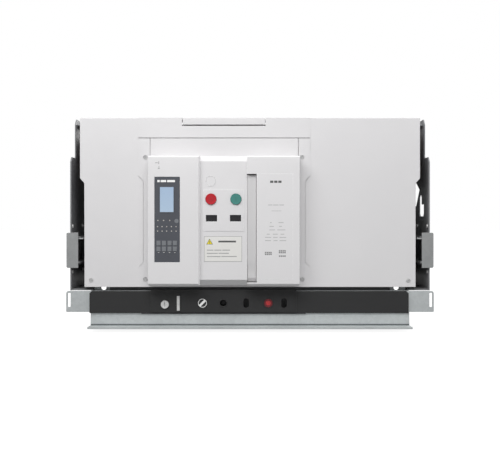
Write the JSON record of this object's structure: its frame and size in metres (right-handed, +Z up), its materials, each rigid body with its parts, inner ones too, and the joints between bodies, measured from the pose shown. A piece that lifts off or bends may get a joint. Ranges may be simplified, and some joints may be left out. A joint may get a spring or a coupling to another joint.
{
  "type": "withdrawable air circuit breaker",
  "caption": "Withdrawable air circuit breaker: wide white front cover with control fascia over a black racking bar, in a sheet-steel cradle with rear copper terminals.",
  "frame": {"origin": "middle of the footprint at the underside of the base plate", "axes": "+Z up, the operating front faces -Y, +X to the viewer's right when facing the front"},
  "size_m": [0.788, 0.44, 0.46],
  "materials": {
    "dark_steel": "satin powder coat",
    "galvanised_steel": "zinc plated",
    "bright_steel": "machined",
    "cover_white": "fine texture",
    "bar_black": "fine texture",
    "case_brown": "moulded",
    "chute_cream": "moulded",
    "shutter_sheet": "laminate",
    "copper": "silver faced at the contacts",
    "tinned_copper": "tin plated",
    "panel_grey": "satin",
    "screen": "clear",
    "window_smoke": "smoked",
    "button_red": "gloss",
    "button_green": "gloss",
    "handle_grey": "satin",
    "motor_black": "satin"
  },
  "bodies": {
    "cradle": {"side_wall_left": "dark_steel", "side_wall_right": "dark_steel", "base_plate": "galvanised_steel", "front_cross_plate": "dark_steel", "racking_bar": "bar_black", "foot_left": "galvanised_steel", "foot_right": "galvanised_steel", "rail_guide_left": "dark_steel", "rail_guide_right": "dark_steel", "wall_rivets": "bright_steel", "rear_insulator": "case_brown", "contact_fingers": "copper", "finger_springs": "bright_steel", "line_terminals": "tinned_copper", "load_terminals": "tinned_copper", "top_bridge": "dark_steel", "terminal_block": "cover_white", "screw_bearing": "bright_steel"},
    "screw": {"racking_screw": "bright_steel"},
    "nut": {"racking_nut": "bright_steel"},
    "dial": {"position_dial": "motor_black"},
    "release": {"release_button": "button_red"},
    "tab": {"padlock_tab": "bright_steel"},
    "key": {"key_cylinder": "bright_steel"},
    "shutter_up": {"upper_shutter": "shutter_sheet"},
    "shutter_down": {"lower_shutter": "shutter_sheet"},
    "rails": {"rail_left": "galvanised_steel", "rail_right": "galvanised_steel"},
    "breaker": {"front_cover": "cover_white", "fascia": "cover_white", "cover_screws": "bright_steel", "front_case": "case_brown", "rear_case": "case_brown", "carriage_plate_left": "galvanised_steel", "carriage_plate_right": "galvanised_steel", "bottom_bracket": "galvanised_steel", "arc_chutes": "chute_cream", "line_stabs": "copper", "load_stabs": "copper", "current_transformers": "bar_black", "mechanism_frame": "galvanised_steel", "motor_operator": "motor_black", "trip_coils": "motor_black", "trip_controller": "panel_grey", "controller_panel": "panel_grey", "controller_screen": "screen", "lock_plug": "cover_white", "indicator_windows": "window_smoke", "closing_spring": "bright_steel", "secondary_plug": "bar_black", "handle_pin": "bright_steel"},
    "front_axle": {"front_rollers": "bright_steel"},
    "rear_axle": {"rear_rollers": "bright_steel"},
    "handle": {"charging_handle": "handle_grey"},
    "drive": {"charging_shaft": "bright_steel"},
    "on": {"on_button": "button_green"},
    "off": {"off_button": "button_red"},
    "flag": {"state_flag": "bar_black"},
    "pole_shaft": {"main_shaft": "bright_steel"},
    "contacts": {"moving_contacts": "copper"}
  },
  "joints": [
    {"name": "withdraw", "type": "slide", "parent": "cradle", "child": "rails", "axis": [0, -1, 0], "range_m": [0, 0.3]},
    {"name": "rack_out", "type": "slide", "parent": "rails", "child": "breaker", "axis": [0, -1, 0], "range_m": [0, 0.075]},
    {"name": "screw_turn", "type": "hinge", "parent": "cradle", "child": "screw", "pos_m": [-0.057, 0, 0.0597], "axis": [0, 1, 0], "range_deg": [0, 5400]},
    {"name": "nut_travel", "type": "slide", "parent": "cradle", "child": "nut", "axis": [0, -1, 0], "range_m": [0, 0.075]},
    {"name": "dial_turn", "type": "hinge", "parent": "cradle", "child": "dial", "pos_m": [-0.1015, -0.184, 0.0597], "axis": [0, 1, 0], "range_deg": [0, 100]},
    {"name": "release_press", "type": "slide", "parent": "cradle", "child": "release", "axis": [0, 1, 0], "range_m": [0, 0.005], "stiffness_N_per_m": 400, "springref_m": -0.004},
    {"name": "tab_pull", "type": "slide", "parent": "cradle", "child": "tab", "axis": [0, -1, 0], "range_m": [0, 0.022]},
    {"name": "key_turn", "type": "hinge", "parent": "cradle", "child": "key", "pos_m": [-0.1816, -0.184, 0.0571], "axis": [0, 1, 0], "range_deg": [0, 90]},
    {"name": "shutter_rise", "type": "slide", "parent": "cradle", "child": "shutter_up", "axis": [0, 0, 1], "range_m": [0, 0.05]},
    {"name": "shutter_drop", "type": "slide", "parent": "cradle", "child": "shutter_down", "axis": [0, 0, -1], "range_m": [0, 0.05]},
    {"name": "front_roll", "type": "hinge", "parent": "breaker", "child": "front_axle", "pos_m": [0, -0.09, 0.212], "axis": [1, 0, 0], "range_deg": [0, 335]},
    {"name": "rear_roll", "type": "hinge", "parent": "breaker", "child": "rear_axle", "pos_m": [0, 0.06, 0.212], "axis": [1, 0, 0], "range_deg": [0, 335]},
    {"name": "handle_pull", "type": "hinge", "parent": "breaker", "child": "handle", "pos_m": [0.004, -0.192, 0.118], "axis": [1, 0, 0], "range_deg": [0, 75], "stiffness_Nm_per_rad": 1, "springref_deg": -11.46},
    {"name": "drive_turn", "type": "hinge", "parent": "breaker", "child": "drive", "pos_m": [-0.054, -0.135, 0.2], "axis": [1, 0, 0], "range_deg": [0, 45]},
    {"name": "on_press", "type": "slide", "parent": "breaker", "child": "on", "axis": [0, 1, 0], "range_m": [0, 0.0045], "stiffness_N_per_m": 500, "springref_m": -0.004},
    {"name": "off_press", "type": "slide", "parent": "breaker", "child": "off", "axis": [0, 1, 0], "range_m": [0, 0.0045], "stiffness_N_per_m": 500, "springref_m": -0.004},
    {"name": "flag_turn", "type": "hinge", "parent": "breaker", "child": "flag", "pos_m": [-0.0305, -0.192, 0.2407], "axis": [1, 0, 0], "range_deg": [0, 90]},
    {"name": "shaft_turn", "type": "hinge", "parent": "breaker", "child": "pole_shaft", "pos_m": [0, -0.06, 0.232], "axis": [-1, 0, 0], "range_deg": [0, 60], "stiffness_Nm_per_rad": 4, "springref_deg": -17.19},
    {"name": "contacts_close", "type": "hinge", "parent": "breaker", "child": "contacts", "pos_m": [0, -0.005, 0.19], "axis": [-1, 0, 0], "range_deg": [0, 22]}
  ],
  "couplings": [
    {"joint": "screw_turn", "follows": "rack_out", "rad_per_m": 1256.6},
    {"joint": "nut_travel", "follows": "rack_out", "ratio": 1},
    {"joint": "dial_turn", "follows": "rack_out", "rad_per_m": 20.943},
    {"joint": "front_roll", "follows": "rack_out", "rad_per_m": 77.519},
    {"joint": "rear_roll", "follows": "rack_out", "rad_per_m": 77.519},
    {"joint": "shutter_rise", "follows": "withdraw", "ratio": 0.1666},
    {"joint": "shutter_drop", "follows": "withdraw", "ratio": 0.1666},
    {"joint": "drive_turn", "follows": "handle_pull", "ratio": 0.6},
    {"joint": "flag_turn", "follows": "shaft_turn", "ratio": 1.5},
    {"joint": "contacts_close", "follows": "shaft_turn", "ratio": 0.3666}
  ]
}
